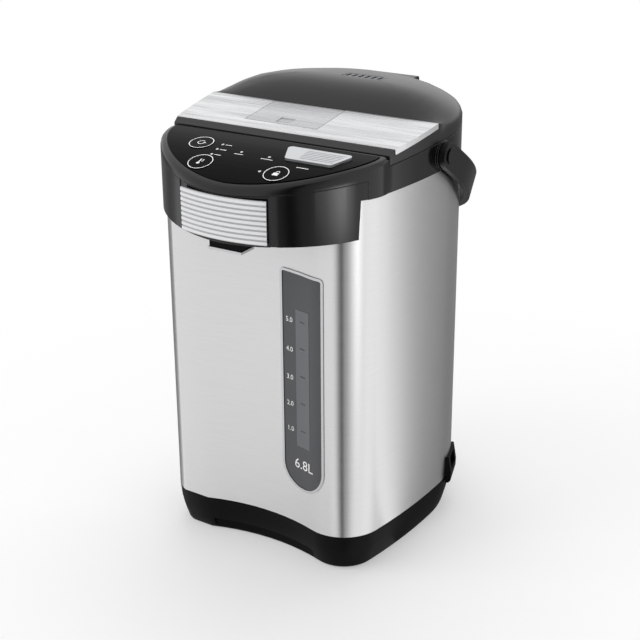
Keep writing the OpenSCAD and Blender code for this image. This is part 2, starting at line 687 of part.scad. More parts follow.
// Ring that closes the space round the inner pot and forms the mouth
module mouth_ring() color("#202123") difference() {
    union() {
        prism(body_pts(wall + gap), deck_z, deck_z + deck_h);
        post([0, 0], mouth_r + 2.5, deck_z, deck_z + deck_h + lip_h);
    }
    post([0, 0], mouth_r, deck_z - 1, deck_z + 20);
    block([-far, far], [-far, panel_back + gap], [0, far]);
}
hood_side = concat(
    [[bezel_y0, shell_top + gap], [bezel_y0, bezel_low(bezel_y0) - gap]],
    [for (i = [1:8]) let (y = bezel_y0 + (bezel_y1 - 6 - bezel_y0)*i/8) [y, bezel_low(y) - gap]],
    [[bezel_y1 - 6, hood_low - hood_skirt], [hood_edge[1], hood_low], [hood_edge[0], shell_top + gap]]);
module hood() color("#141517") difference() {
    union() {
        intersection() {
            difference() {
                prism(d_pts(panel_rim), hood_low - 2*hood_skirt, bezel_rear + 4);
                prism(d_pts(panel_rim - hood_t), hood_low - 20, bezel_rear + 5);
                prism(body_pts(-gap), 0, shell_top + gap);
            }
            across(hood_side);
        }
        // floor of the hood and the returns that close it against the steel
        intersection() {
            difference() {
                prism(d_pts(panel_rim - 1), hood_low, shell_top);
                prism(body_pts(-gap), hood_low - 1, shell_top + 1);
            }
            union() {
                block([-far, far], [-far, hood_edge[1] + 1], [hood_low, hood_low + wall]);
                for (x = [-body_r, return_x])
                    across([[hood_edge[1], hood_low], [hood_edge[1] - wall, hood_low],
                        [hood_edge[0] - wall, shell_top], [hood_edge[0], shell_top]],
                        x, x + body_r - return_x);
            }
        }
    }
    // pocket for the front plate, with an open channel at each side of it
    difference() {
        block([-badge_w - 0.3, badge_w + 0.3], [badge_y - 20, badge_y + 30], [hood_low - 20, shell_top + 9]);
        post([0, badge_y + badge_r], badge_r - badge_t, hood_low - 21, shell_top + 10);
    }
    for (s = [-1, 1]) difference() {
        block([s > 0 ? badge_w : -badge_w - reveal_w, s > 0 ? badge_w + reveal_w : -badge_w],
            [badge_y - 20, badge_y + 30], [hood_low - 20, shell_top + 9]);
        post([0, badge_y + badge_r], badge_r - badge_t - 3.2, hood_low - 21, shell_top + 10);
    }
    block([-spout_w - gap, spout_w + gap], [spout_y[0] - gap, spout_y[1] + gap],
        [hood_low - 1, hood_low + wall + 1]);
}
overlay_pts = concat([for (i = [0:10]) let (y = panel_back - 4 - 74*i/10) [y, panel_s(y)]],
    [for (i = [10:-1:0]) let (y = panel_back - 4 - 74*i/10) [y, panel_s(y) - overlay_t + 0.08]]);
module panel_overlay() color("#08090a") difference() {
    intersection() {
        prism(d_pts(-overlay_in, panel_back - 4), shell_top, panel_z + 5);
        across(overlay_pts);
    }
    key_holes(gap);
}
module indicator_lenses() color("#c9ced2") for (at = lamps_at) key_frame(at) translate([0, 0, -lamp_depth])
    cylinder(r = lamp_r, h = lamp_depth + 0.1);
// A stem stops short of its switch by the travel, and by what its own steeper slope would make it dip
function stem_h(at, travel) = panel_s(at[1]) - cap_t - board_z(at[1]) - switch_h - travel - gap
    - 1.5*stem_r*sin(abs(panel_tilt(at[1]) - panel_tilt(-120)));
module round_key(at) key_frame(at) {
    translate([0, 0, -cap_t]) cylinder(r = key_r, h = cap_t + key_proud);
    translate([0, 0, -cap_t - stem_h(at, key_travel)]) cylinder(r = stem_r, h = stem_h(at, key_travel));
}
module reboil_key() color("#0b0b0c") round_key(reboil_at);
module temperature_key() color("#0b0b0c") round_key(temperature_at);
module unlock_key() color("#0b0b0c") round_key(unlock_at);
// Outline of the dispensing key: a trapezoid with round corners, wider at its rear
dispense_corner = 3;
module dispense_2d(play = 0) {
    r = dispense_corner;
    h = dispense_size[2]/2 - r;
    w = [dispense_size[1]/2 - r - 0.6, dispense_size[0]/2 - r - 0.6];
    a = atan((w[1] - w[0])/(2*h));
    e = r + play;
    corners = [[w[0], -h, -90, -a], [w[1], h, -a, 90], [-w[1], h, 90, 180 + a], [-w[0], -h, 180 + a, 270]];
    polygon([for (k = corners) for (i = [0:6]) let (b = k[2] + (k[3] - k[2])*i/6)
        [k[0] + e*cos(b), k[1] + e*sin(b)]]);
}
module dispense_key() color("#c4c6c8") key_frame(dispense_at) {
    difference() {
        translate([0, 0, -cap_t]) linear_extrude(cap_t + dispense_proud) dispense_2d();
        for (i = [0:5]) let (y = -dispense_size[2]/2 + 3.4 + i*2.7)
            translate([-dispense_size[0]/6, y, dispense_proud - 0.5])
                cube([dispense_size[0]/6 + dispense_size[1]/2 - 3 + (y + dispense_size[2]/2)*0.3, 1, 1]);
    }
    h = stem_h(dispense_at, dispense_travel);
    translate([0, 0, -cap_t - h]) cylinder(r = stem_r, h = h);
}
module control_board() color("#1f5b3a") {
    intersection() {
        prism(d_pts(-11, -90), shell_top, panel_z);
        across([[board_y[0], board_z(board_y[0]) - board_t], [board_y[1], board_z(board_y[1]) - board_t],
            [board_y[1], board_z(board_y[1])], [board_y[0], board_z(board_y[0])]]);
    }
    for (at = [reboil_at, temperature_at, unlock_at, dispense_at])
        translate([at[0], at[1], board_z(at[1]) - 1.2]) rotate([panel_tilt(-120), 0, 0])
            translate([-3, -3, 0]) cube([6, 6, switch_h + 1]);
    for (x = [-14, 6]) translate([x, -113, board_z(-113) - 1]) rotate([panel_tilt(-120), 0, 0])
        cube([10, 7, 3.2]);
}

// ---- Front plate and spout ----

rib = badge_h/badge_ribs;
module front_plate() color("#d2d3d4") translate([0, badge_y + badge_r, badge_top - badge_h])
    rotate([0, 0, -90 - asin(badge_w/badge_r)]) rotate_extrude(angle = 2*asin(badge_w/badge_r), $fn = 256)
        polygon(concat([[badge_r - badge_t, 0], [badge_r - 0.6, 0]],
            [for (i = [0:badge_ribs - 1]) each [[badge_r, rib*i + 0.5], [badge_r, rib*(i + 1) - 0.9],
                [badge_r - 0.6, rib*(i + 1) - 0.4], [badge_r - 0.6, rib*(i + 1)]]],
            [[badge_r - badge_t, badge_h]]));
module spout() color("#131415") difference() {
    union() {
        block([-spout_w, spout_w], spout_y, [spout_low, hood_low + wall + 1]);
        block([-spout_w - flange_out[0], spout_w + flange_out[0]],
            [spout_y[0] + 1, spout_y[1] + flange_out[1]], [hood_low + wall, hood_low + wall + flange_t]);
        block([-9, 9], [spout_y[0] + 2, spout_y[1] - 2], [hood_low + wall, nipple_top - nipple_h]);
        post([0, nozzle_y], riser_r, nipple_top - nipple_h - 1, nipple_top);
    }
    post([0, nozzle_y], riser_r - 1.3, spout_low - 1, nipple_top + 1);
    post([0, nozzle_y], nozzle_r, spout_low - 1, hood_low - 3);
    // chamber that the stream falls through
    difference() {
        block([2 - spout_w, spout_w - 2], [spout_y[0] + 2, spout_y[1] - 2], [spout_low - 1, hood_low - 5]);
        post([0, nozzle_y], nozzle_r + 1.6, spout_low + 4, hood_low);
    }
}
module spout_rim() color("#d8dadb") difference() {
    block([-spout_w - 0.9, spout_w + 0.9], [spout_y[0] - 0.9, spout_y[1] + 0.9],
        [spout_low - 1, spout_low + 1]);
    block([-spout_w - 0.1, spout_w + 0.1], [spout_y[0] - 0.1, spout_y[1] + 0.1], [spout_low, spout_low + 2]);
    block([2 - spout_w, spout_w - 2], [spout_y[0] + 2, spout_y[1] - 2], [spout_low - 2, spout_low + 2]);
}

// ---- Electrics ----

module power_board() color("#246b45") {
    block([-42, 42], [22, 80], [9.1, 10.7]);
    block([-36, -10], [30, 54], [10.7, 25]);
    block([0, 16], [34, 52], [10.7, 23]);
    post([28, 38], 6, 10.7, 25);
    post([28, 56], 4.5, 10.7, 22);
    block([-36, -24], [62, 74], [10.7, 20]);
    block([0, 30], [66, 70], [10.7, 24]);
}
module inlet_frame() rotate([0, 0, inlet_a]) children();
module power_inlet() color("#121314") difference() {
    union() {
        // guard that stands out from the shell round the socket
        difference() {
            inlet_frame() facing(-inlet_w, inlet_w) polygon(concat(
                [[body_r - 4, inlet_z[0]]],
                arc([body_r + inlet_out - 4.5, inlet_z[0] + 4.5], 4.5, -90, 0, 5),
                [[body_r + inlet_out, inlet_z[0] + 11], [body_r + 1.4, inlet_z[1]],
                    [body_r - 4, inlet_z[1]]]));
            prism(body_pts(-0.1), 0, 90);
        }
        inlet_frame() block([socket_x[0] - 4, body_r + 1], [-socket_w - 3, socket_w + 3],
            [socket_z[0] - 2, socket_z[1] + 2]);
    }
    inlet_frame() block([socket_x[0], body_r + 20], [-socket_w, socket_w], socket_z);
    inlet_frame() for (y = [-6, 0, 6])
        rod([y, (socket_z[0] + socket_z[1])/2], 1.5 + bore_fit, socket_x[0] - 5, socket_x[0] + 1);
}
module inlet_pins() color("#c9b88a") inlet_frame() for (y = [-6, 0, 6])
    rod([y, (socket_z[0] + socket_z[1])/2], 1.5, socket_x[0] - 8, socket_x[1]);

// ---- Lid ----

// Rear part of the lid's outline, from the ribbed plate's rear edge back round to it
function lid_outline(d, f) = let (y = plate_back + f, a = asin(y/(side_r - d)), w = side_x(y, d)) concat(
    arc([body_r - side_r, 0], side_r - d, a, 0, 2),
    arc([0, 0], body_r - d, 0, 180, 40),
    arc([side_r - body_r, 0], side_r - d, 180, 180 - a, 2),
    [for (i = [0:9]) [-w + 2*w*i/10, y]]);
dome_steps = [1, 0.985, 0.97, 0.955, 0.92, 0.86, 0.76, 0.62, 0.44, 0.24];
// How near a place is to the lid's edge: 0 at the pot axis, 1 at the edge
function edge_share(p) = p[1] > 0 ? norm(p)/body_r : abs(p[0])/side_x(p[1]);
// Height of the lid: a crown that falls to the edge all round, and to the ribbed plate in front
function crown(p) = let (v = min(1, max(0, (p[1] - plate_back)/dome_rise)), q = min(1, edge_share(p)))
    (1 - pow(q, dome_p))*(1 - pow(1 - v, dome_f));
function rounding(q) = let (t = max(0, (q - rim_share)/(1 - rim_share)))
    rim_round*(1 - sqrt(max(0, 1 - t*t)));
function dome_over(p) = rim_height(p[1]) + dome_h*crown(p)
    - rounding(min(1, edge_share(p)))*min(1, max(0, (p[1] - plate_back)/20));
function dome_ring(pts, t, lower) = [for (p = pts) let (q = [t*p[0], dome_c[1] + t*(p[1] - dome_c[1])])
    [q[0], q[1], dome_over(q) - lower]];
module dome(d, f, lower, low) skin(concat([ring_at(lid_outline(d, f), low)],
    [for (t = dome_steps) dome_ring(lid_outline(d, f), t, lower)]));
module front_block(d, f, lower, back) intersection() {
    prism(body_pts(d), liner_z - 2, far);
    across([[lid_front + f, liner_z - 2], [back, liner_z - 2], [back, plate_z(back) - plate_under - lower],
        [plate_front[0] - 0.2 + f, plate_z(plate_front[0] - 0.2 + f) - plate_under - lower],
        [plate_front[0] - 0.2, plate_front[1] - 0.3 - lower], [lid_front + 1.4 + f, panel_z + 1.4 - lower],
        [lid_front + f, panel_z + 0.6 - lower]]);
}
module tongue_notch() block([hinge_x - hinge_w - 0.1, hinge_x + hinge_w + 0.1], [tongue_y - 0.1, far],
    [tongue_z[0], far]);
module lid_shell() color("#0c0c0e") {
    difference() {
        union() {
            dome(-proud, 0, 0, liner_z - 2);
            front_block(-proud, 0, 0, plate_back + 1);
        }
        dome(lid_t - proud, lid_t, lid_t + 0.2, liner_z - 5);
        front_block(lid_t - proud, lid_t, lid_t, plate_back);
        across([[-far, 0], [far, 0], [far, seam(far) + seam_gap], [-far, seam(-far) + seam_gap]]);
        tongue_notch();
        vent_hole(gap);
        block([flap_x - tray_w - gap, flap_x + tray_w + gap], [tray_y[0] - gap, plate_back], [0, far]);
        block([flap_x - bolt_w - 0.5, flap_x + bolt_w + 0.5], [lid_front - 1, lid_front + lid_t + 1],
            [bolt_z[0] - 0.5, bolt_z[1] + 0.5]);
    }
    // screw posts, and ribs under the hinge
    for (p = lid_post_at) difference() {
        post(p, 4, liner_z + liner_t, dome_over(p) - lid_t + 0.4);
        post(p, screw_r + bore_fit, 0, liner_z + liner_t + 9);
    }
    intersection() {
        prism(body_pts(rim_round), tongue_z[0] - 2, tongue_z[0]);
        block([hinge_x - hinge_w - 3, hinge_x + hinge_w + 3], [tongue_y - 2.3, far], [0, far]);
    }
    for (s = [-1, 1]) let (x = hinge_x + s*hinge_rib_x)
        block([x - 1.5, x + 1.5], [tongue_y - 1, body_r - 9], [liner_z + liner_t, tongue_z[0]]);
    for (s = [-1, 1]) let (x = hinge_x + s*(hinge_w + 1.6))
        block([x - 1.4, x + 1.4], [tongue_y - 1, body_r - 13.5],
            [liner_z + liner_t, dome_over([x + s*1.4, body_r - 13.5]) - 0.6]);
}
module rib_profile(u0, u1, thick) {
    n = floor((u1 - u0)/rib_pitch);
    across(concat([[u0, -thick], [u0, 0]],
        [for (i = [1:n - 1]) each let (u = u0 + (u1 - u0)*i/n)
            [[u - 0.45, 0], [u - 0.25, -0.4], [u + 0.25, -0.4], [u + 0.45, 0]]],
        [[u1, 0], [u1, -thick]]));
}
module on_slope() translate([0, plate_front[0], plate_front[1]]) rotate([plate_a, 0, 0]) children();
module lid_plate() color("#cfd0d1") difference() {
    intersection() {
        on_slope() rib_profile(0.1, 62.15, plate_t);
        prism(body_pts(-proud - 0.5), shell_top, far);
        block([-far, far], [-far, plate_back - 0.1], [0, far]);
    }
    on_slope() block([flap_x - flap_w - 0.5, flap_x + flap_w + 0.5], [flap_u[0] - 0.8, 80], [-20, 20]);
}
module lid_liner() color("#d9d6cc") difference() {
    union() {
        intersection() {
            union() {
                prism(body_pts(liner_in), liner_z, liner_z + liner_t);
                difference() {
                    prism(body_pts(liner_in), liner_z, liner_z + liner_edge);
                    prism(body_pts(liner_in + liner_edge_t), liner_z - 1, liner_z + liner_edge + 1);
                }
            }
            across([[lid_front + lid_t + 0.4, 0], [far, 0], [far, far], [liner_y, far],
                [liner_y, liner_z + liner_t], [lid_front + lid_t + 0.4, liner_z + liner_t]]);
        }
        post([0, 0], plug_r, plug_low, liner_z + 0.5);
    }
    post([0, 0], plug_r - 2.5, plug_low - 1, liner_z);
    for (p = lid_post_at) post(p, screw_r + bore_fit, 0, far);
    post(vent_at, duct_r + 0.05, 0, far);
}
module lid_gasket() color("#b9b4a6") difference() {
    union() {
        post([0, 0], plug_r + 0.6, plug_low + 0.6, liner_z);
        post([0, 0], mouth_r - 0.5, plug_low + 1, plug_low + 2.4);
    }
    post([0, 0], plug_r, 0, far);
}
module inner_lid() color("#d3d5d6") difference() {
    union() {
        post([0, 0], plug_r - 0.5, plug_low - 1, plug_low);
        post([0, 0], 12, plug_low - 2, plug_low);
        for (p = [[30, -30], [-30, -30], [0, 30]]) post(p, 4, plug_low - 1, liner_z);
    }
    for (x = [-1, 0, 1]) post([vent_at[0] + 4*x, vent_at[1]], 1.4, 0, far);
}
module lid_screws() color("#b8bcc0") for (p = lid_post_at) {
    post(p, screw_head, liner_z - 1.6, liner_z);
    post(p, screw_r, liner_z, liner_z + 9);
}
module vent_2d(d) square([vent_size[0] + 2*d, vent_size[1] + 2*d], center = true);
module vent_frame() translate([vent_at[0], vent_at[1], vent_z]) rotate([vent_tilt, 0, 0]) children();
module vent_hole(d) vent_frame() translate([0, 0, -9]) linear_extrude(30) vent_2d(d);
module steam_vent() color("#17181a") difference() {
    vent_frame() translate([0, 0, -5]) linear_extrude(4.7) vent_2d(0);
    for (i = [0:5]) vent_frame() translate([6.2*i - 17.1, 2 - vent_size[1]/2, -2])
        cube([3.2, vent_size[1] - 4, 4]);
    post(vent_at, duct_r - 1.6, vent_z - 7, vent_z - 1.2);
}
module steam_duct() color("#cfccc2") difference() {
    union() {
        post(vent_at, duct_r, plug_low + 0.5, vent_z - 5.9);
        post(vent_at, duct_r + 3, liner_z + liner_t, liner_z + liner_t + 1.5);
    }
    post(vent_at, duct_r - 1.6, 0, far);
}
module lid_hinge() color("#111214") difference() {
    union() {
        across([[tongue_y, tongue_z[0]], [hinge_at[0] - 5, tongue_z[0]], [hinge_at[0] - 5, hinge_at[1]],
            [hinge_at[0] + 6, hinge_at[1]], [tongue_end, tongue_z[0]], [tongue_end, tongue_z[1] - 1.6],
            [tongue_end - 1.6, tongue_z[1]], [tongue_y, tongue_z[1]]], hinge_x - hinge_w, hinge_x + hinge_w);
        rod(hinge_at, knuckle_r, hinge_x - hinge_w, hinge_x + hinge_w);
    }
    rod(hinge_at, hinge_pin_r + bore_fit, -far, far);
}
module hinge_pin() color("#b4b8bc") rod(hinge_at, hinge_pin_r, hinge_x - hinge_w - slip - lug_w,
    hinge_x + hinge_w + slip + lug_w);

// ---- Release flap and bolt ----

lug_x = [18, 21];
tray_lug_x = [21.5, 25];
module latch_flap() color("#cfd0d1") translate([flap_x, 0, 0]) difference() {
    union() {
        // finger that draws the bolt back
        block([-finger_w, finger_w], [axis_y - 1.5, axis_y + 1.5], [bolt_z[1] - 2, axis_z]);
        block([-finger_w, finger_w], [axis_y - 2.6, axis_y + 2.6], [axis_z, axis_z + 3.6]);
        rod([axis_y, axis_z], 2.6, -finger_w, finger_w);
        flap_slab();
    }
    rod([axis_y, axis_z], flap_pin_r + bore_fit, -30, 30);
}
module flap_slab() on_slope() {
    difference() {
        intersection() {
            rib_profile(flap_u[0], flap_u[1], flap_t);
            block([-flap_w, flap_w], [0, 80], [-10, 10]);
        }
        // mark pressed into the front of the flap
        block([-7, 7], [flap_u[0] + 2, flap_u[0] + 13], [-0.8, 2]);
    }
    for (s = [-1, 1]) {
        x0 = s > 0 ? lug_x[0] : -lug_x[1];
        rod(flap_axis, 2.6, x0, x0 + 3);
        block([x0, x0 + 3], [flap_axis[0] - 2.6, flap_axis[0] + 2.6], [flap_axis[1], -flap_t + 0.2]);
    }
}
module flap_pin() color("#b4b8bc") translate([flap_x, 0, 0])
    rod([axis_y, axis_z], flap_pin_r, -tray_lug_x[1] - 0.5, tray_lug_x[1] + 0.5);
module latch_tray() color("#1a1b1d") translate([flap_x, 0, 0]) difference() {
    union() {
        intersection() {
            difference() {
                block([-tray_w, tray_w], tray_y, [tray_low, far]);
                block([1.2 - tray_w, tray_w - 1.2], [tray_y[0] + 1.2, tray_y[1] - 1.2],
                    [tray_low + 1, far + 1]);
            }
            on_slope() block([-100, 100], [-30, 100], [-60, -plate_t]);
        }
        for (s = [-1, 1]) {
            x0 = s > 0 ? tray_lug_x[0] : -tray_lug_x[1];
            rod([axis_y, axis_z], 2.6, x0, x0 + 3.5);
            block([x0, x0 + 3.5], [axis_y - 2.6, axis_y + 2.6], [tray_low + 0.5, axis_z]);
        }
        // rails that guide the bolt
        for (s = [-1, 1]) let (x = s*(bolt_w + 1.3))
            block([x - 0.9, x + 0.9], [tray_y[0] + 4, bolt_end], [tray_low + 0.5, bolt_z[1]]);
    }
    rod([axis_y, axis_z], flap_pin_r + bore_fit, -30, 30);
    block([-bolt_w - 0.4, bolt_w + 0.4], [tray_y[0] - 1, tray_y[0] + 2], [bolt_z[0] - 0.4, bolt_z[1] + 0.4]);
}
module latch_bolt() color("#c9cbcd") translate([flap_x, 0, 0]) difference() {
    union() {
        block([-bolt_w, bolt_w], [bolt_tip + 2, bolt_end], bolt_z);
        across([[bolt_tip, bolt_z[1] - 1.2], [bolt_tip, bolt_z[1]], [bolt_tip + 2.2, bolt_z[1]],
            [bolt_tip + 2.2, bolt_z[0]], [bolt_tip + 1.4, bolt_z[0]]], -bolt_w, bolt_w);
    }
    block([-finger_w - 0.4, finger_w + 0.4], [axis_y - 2.1, axis_y + 2.5], [0, far]);
}
module latch_spring() color("#c2c4c6") translate([flap_x, 0, 0]) {
    for (s = [-1, 1], i = [0:5]) translate([s*(9.5 + i), axis_y, axis_z]) rotate([0, 90, 0])
        rotate_extrude($fn = 32) translate([2, 0]) circle(0.35, $fn = 16);
    for (s = [-1, 1]) translate([s*12 - 3.2, axis_y + 1.65, axis_z - 0.35]) cube([6.4, 0.7, 0.7]);
}

// ---- Handle ----

// Outline of the handle, drawn in by d: two arms, two long curves and the grip, each tangent to the next
module bail_2d(d) {
    turn_y = bail_arm + (bail_side - d)*sin(bail_turn);
    translate([d - bail_out, 0]) square([2*(bail_out - d), bail_arm]);
    intersection() {
        translate([bail_side - bail_out, bail_arm]) circle(bail_side - d, $fn = 180);
        translate([bail_out - bail_side, bail_arm]) circle(bail_side - d, $fn = 180);
        translate([-far, bail_arm]) square([2*far, turn_y - bail_arm]);
    }
    intersection() {
        translate([0, bail_grip]) circle(bail_back - d, $fn = 180);
        translate([-far, turn_y - 0.01]) square([2*far, far]);
    }
}
module handle_bail() color("#0e0e10") difference() {
    translate([0, pivot_at[0], pivot_at[1]]) rotate([-bail_hang, 0, 0]) {
        linear_extrude(bail_w, center = true) difference() {
            bail_2d(0);
            bail_2d(bail_t);
            translate([bail_t - bail_out, -1]) square([2*bail_in, 2]);
        }
        for (s = [-1, 1]) rod([0, 0], bail_end, s > 0 ? bail_in : -bail_out, s > 0 ? bail_out : -bail_in);
    }
    rod(pivot_at, pivot_r + bore_fit, -far, far);
}
module handle_pins() color("#2a2b2d") for (s = [-1, 1]) {
    x0 = body_r - wall + 0.5;
    x1 = bail_out + gap;
    rod(pivot_at, pivot_r, s > 0 ? x0 : -x1, s > 0 ? x1 : -x0);
    rod(pivot_at, 6.5, s > 0 ? x1 : -x1 - 1.2, s > 0 ? x1 + 1.2 : -x1);
}

place() outer_shell();
place() base_housing();
place() bottom_cover();
place() rubber_feet();
place() cover_screws();
place() collar();
place() mouth_ring();
place() hood();
place() panel_overlay();
place() indicator_lenses();
place() reboil_key();
place() temperature_key();
place() unlock_key();
place() dispense_key();
place() control_board();
place() front_plate();
place() spout();
place() spout_rim();
place() gauge_frame();
place() gauge_panel();
place() gauge_lens();
place() riser_tube();
place() riser_clips();
place() inner_pot();
place() heater();
place() thermostats();
place() suction_hose();
place() pump_body();
place() pump_impeller();
place() pump_motor();
place() pump_elbow();
place() outlet_hose();
place() power_board();
place() power_inlet();
place() inlet_pins();
place() hinge_pin();
place() lid_hinge();
place() lid_shell();
place() lid_plate();
place() lid_liner();
place() lid_gasket();
place() inner_lid();
place() lid_screws();
place() steam_vent();
place() steam_duct();
place() latch_tray();
place() latch_flap();
place() flap_pin();
place() latch_bolt();
place() latch_spring();
place() handle_bail();
place() handle_pins();
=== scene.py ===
# %% [markdown]
# # An electric thermo pot, dressed for its picture
# The solids come from the CAD model and are already in place. This notebook gives them their finishes,
# adds the thin things that only the eye needs, such as printed marks, and sets up a small photo studio.
# Everything is in metres: X runs to the right of the pot, its front faces -Y, and Z is up.

# %% Load the model
import math

import bmesh
import bpy
from mathutils import Matrix, Vector


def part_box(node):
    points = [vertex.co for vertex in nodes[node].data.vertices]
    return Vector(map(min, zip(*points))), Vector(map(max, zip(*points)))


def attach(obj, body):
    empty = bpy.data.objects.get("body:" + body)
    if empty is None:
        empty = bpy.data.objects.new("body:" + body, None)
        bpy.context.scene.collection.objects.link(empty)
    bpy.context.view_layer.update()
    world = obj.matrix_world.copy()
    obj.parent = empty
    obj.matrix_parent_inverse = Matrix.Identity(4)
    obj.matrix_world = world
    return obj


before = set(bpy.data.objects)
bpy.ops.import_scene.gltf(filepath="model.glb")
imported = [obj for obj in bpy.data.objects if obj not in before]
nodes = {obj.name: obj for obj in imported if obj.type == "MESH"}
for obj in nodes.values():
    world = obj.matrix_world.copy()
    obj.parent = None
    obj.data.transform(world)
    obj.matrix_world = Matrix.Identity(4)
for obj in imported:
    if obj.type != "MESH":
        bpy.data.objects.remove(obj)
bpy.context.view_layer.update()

# %% [markdown]
# The camera stands in front of the right-hand corner, a little above the lid, with a long lens, so that
# upright edges stay nearly parallel. A point to aim at is easier to adjust than three angles, and the
# last small turn is the tilt of the camera about its own line of sight.

# %% Camera
camera = bpy.data.objects.new("camera", bpy.data.cameras.new("camera"))
bpy.context.scene.collection.objects.link(camera)
camera.data.lens = 78.55
camera.data.sensor_width = 36
camera.location = (0.60397, -0.98007, 0.65577)
aim = Vector((0.01165, -0.02041, 0.19038))
look = (aim - camera.location).to_track_quat("-Z", "Y").to_matrix().to_4x4()
camera.matrix_world = Matrix.Translation(camera.location) @ look @ Matrix.Rotation(-0.00636, 4, "Z")
bpy.context.scene.camera = camera
print("camera", round((aim - camera.location).length, 3), "m from the middle of the pot")

# %% [markdown]
# A CAD mesh is made of small flat faces. A modifier leaves the mesh itself alone and smooths what is
# drawn: it joins the corners that lie on each other, shades all faces smooth, and keeps an edge sharp
# where two faces meet at more than 28 degrees. The same modifier serves every piece.

# %% Smooth shading for the CAD solids
def smooth_by_angle(degrees):
    tree = bpy.data.node_groups.new("smooth_by_angle", "GeometryNodeTree")
    tree.interface.new_socket("Geometry", in_out="INPUT", socket_type="NodeSocketGeometry")
    tree.interface.new_socket("Geometry", in_out="OUTPUT", socket_type="NodeSocketGeometry")
    start, end = tree.nodes.new("NodeGroupInput"), tree.nodes.new("NodeGroupOutput")
    clean = tree.nodes.new("GeometryNodeRemoveAttribute")
    clean.inputs["Name"].default_value = "custom_normal"
    join = tree.nodes.new("GeometryNodeMergeByDistance")
    join.inputs["Distance"].default_value = 0.000002
    soft = tree.nodes.new("GeometryNodeSetShadeSmooth")
    sharp = tree.nodes.new("GeometryNodeSetShadeSmooth")
    sharp.domain = "EDGE"
    sharp.inputs["Shade Smooth"].default_value = False
    angle = tree.nodes.new("GeometryNodeInputMeshEdgeAngle")
    over = tree.nodes.new("FunctionNodeCompare")
    over.operation = "GREATER_THAN"
    over.inputs[1].default_value = math.radians(degrees)
    links = tree.links.new
    links(start.outputs[0], clean.inputs["Geometry"])
    links(clean.outputs["Geometry"], join.inputs["Geometry"])
    links(join.outputs["Geometry"], soft.inputs["Geometry"])
    links(soft.outputs["Geometry"], sharp.inputs["Geometry"])
    links(angle.outputs["Unsigned Angle"], over.inputs[0])
    links(over.outputs[0], sharp.inputs["Selection"])
    links(sharp.outputs["Geometry"], end.inputs[0])
    return tree


smoother = smooth_by_angle(28)
for name, solid in nodes.items():
    solid.modifiers.new("smooth_by_angle", "NODES").node_group = smoother
print(len(nodes), "solids shaded smooth")

# %% [markdown]
# Colours are written as the hex values that a screen shows. Shaders want linear light, so one function
# turns the one into the other. A second small function adds a node with its settings and links, and every
# material below is made with it.

# %% Helpers for materials
def linear(hex_colour):
    parts = [int(hex_colour[i:i + 2], 16) / 255 for i in (1, 3, 5)]
    return tuple(c / 12.92 if c <= 0.04045 else ((c + 0.055) / 1.055) ** 2.4 for c in parts) + (1.0,)


def add(tree, kind, inputs=None, **settings):
    node = tree.nodes.new(kind)
    for name, value in settings.items():
        setattr(node, name, value)
    for name, value in (inputs or {}).items():
        if isinstance(value, bpy.types.NodeSocket):
            tree.links.new(value, node.inputs[name])
        else:
            node.inputs[name].default_value = value
    return node


def material(name, **surface):
    mat = bpy.data.materials.new(name)
    mat.use_nodes = True
    shader = mat.node_tree.nodes["Principled BSDF"]
    for socket, value in surface.items():
        shader.inputs[socket.replace("_", " ")].default_value = value
    return mat, mat.node_tree, shader


def finish_with(mat, *names):
    for name in names:
        mesh = nodes[name].data
        mesh.materials.clear()
        mesh.materials.append(mat)


# %% [markdown]
# No real edge is perfectly sharp: a mould or a press leaves it rounded by a few tenths of a millimetre,
# and that thin round catches the light. The Bevel node turns the normal near an edge as if it were
# rounded, so each finish gets its edge light without a single new face. A bump of fine noise then goes on
# top.

# %% A surface with rounded edges and a grain
def surface_grain(tree, shader, height, strength, depth, edge):
    rounded = add(tree, "ShaderNodeBevel", {"Radius": edge}, samples=4)
    bump = add(tree, "ShaderNodeBump", {"Height": height, "Strength": strength, "Distance": depth,
                                        "Normal": rounded.outputs[0]})
    tree.links.new(bump.outputs[0], shader.inputs["Normal"])


def two_tone(tree, factor, hex_colour, share):
    tone = add(tree, "ShaderNodeMix", {"Factor": factor}, data_type="RGBA")
    colour = linear(hex_colour)
    tone.inputs[6].default_value = tuple(c * (1 - share) for c in colour[:3]) + (1.0,)
    tone.inputs[7].default_value = tuple(min(1, c * (1 + share)) for c in colour[:3]) + (1.0,)
    return tone.outputs[2]


# %% [markdown]
# The body is a wrapped sheet of stainless steel, 0.8 mm thick, brushed round the pot with a fine abrasive
# belt. The belt leaves level scratches about 0.1 mm wide. Stretched noise draws them, wider than they
# really are so that they show. Scratches spread a reflection across themselves and keep it narrow along
# themselves, which is why brushed steel shows upright bands of light. The shader calls that anisotropy,
# and it needs to know which way the scratches run: round the Z axis.

# %% Brushed stainless steel
def brushed(name, colour, roughness, across, along, depth, tone=0.05, anisotropy=0.0, edge=0.0003):
    mat, tree, shader = material(name, Metallic=1.0, Roughness=roughness, Anisotropic=anisotropy)
    place = add(tree, "ShaderNodeTexCoord")
    stretch = add(tree, "ShaderNodeMapping", {"Vector": place.outputs["Object"],
                                              "Scale": (along, along, across)})
    grain = add(tree, "ShaderNodeTexNoise", {"Vector": stretch.outputs[0], "Scale": 1.0, "Detail": 3.0})
    tree.links.new(two_tone(tree, grain.outputs["Fac"], colour, tone), shader.inputs["Base Color"])
    rough = add(tree, "ShaderNodeMapRange", {"Value": grain.outputs["Fac"], "To Min": roughness - 0.05,
                                             "To Max": roughness + 0.07})
    tree.links.new(rough.outputs[0], shader.inputs["Roughness"])
    surface_grain(tree, shader, grain.outputs["Fac"], 0.25, depth, edge)
    if anisotropy:
        shader.inputs["Anisotropic Rotation"].default_value = 0.25
        round_z = add(tree, "ShaderNodeTangent", direction_type="RADIAL", axis="Z")
        tree.links.new(round_z.outputs[0], shader.inputs["Tangent"])
    return mat


